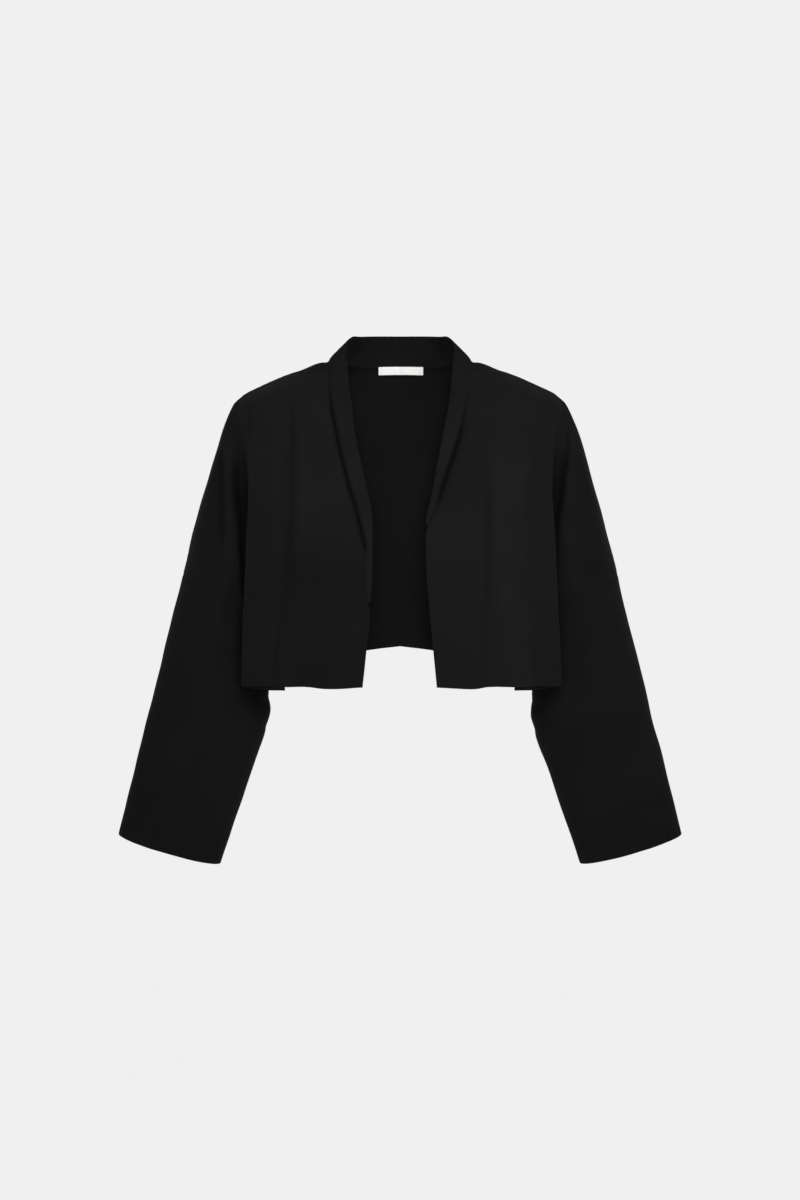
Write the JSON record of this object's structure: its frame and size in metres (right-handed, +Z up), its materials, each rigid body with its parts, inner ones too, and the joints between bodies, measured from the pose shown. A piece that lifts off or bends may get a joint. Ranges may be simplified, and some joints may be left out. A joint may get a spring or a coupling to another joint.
{
  "type": "bolero jacket",
  "caption": "Cropped open-front bolero jacket in black crepe with wide dropped sleeves and a narrow standing neckband, hollow and shaped as worn.",
  "frame": {"origin": "middle of the neck base, level with the points where the shoulders meet the neck, where a wearer holds the jacket", "axes": "+Z up as worn, -Y to the wearer's front, +X to the wearer's left"},
  "size_m": [0.7366, 0.2452, 0.6883],
  "materials": {
    "black_crepe": "matte woven crepe",
    "white_satin": "smooth satin tape, bare"
  },
  "bodies": {
    "root": {"front_left": "black_crepe", "front_right": "black_crepe", "back": "black_crepe", "sleeve_left": "black_crepe", "sleeve_right": "black_crepe", "collar": "black_crepe", "label": "white_satin"}
  },
  "joints": []
}
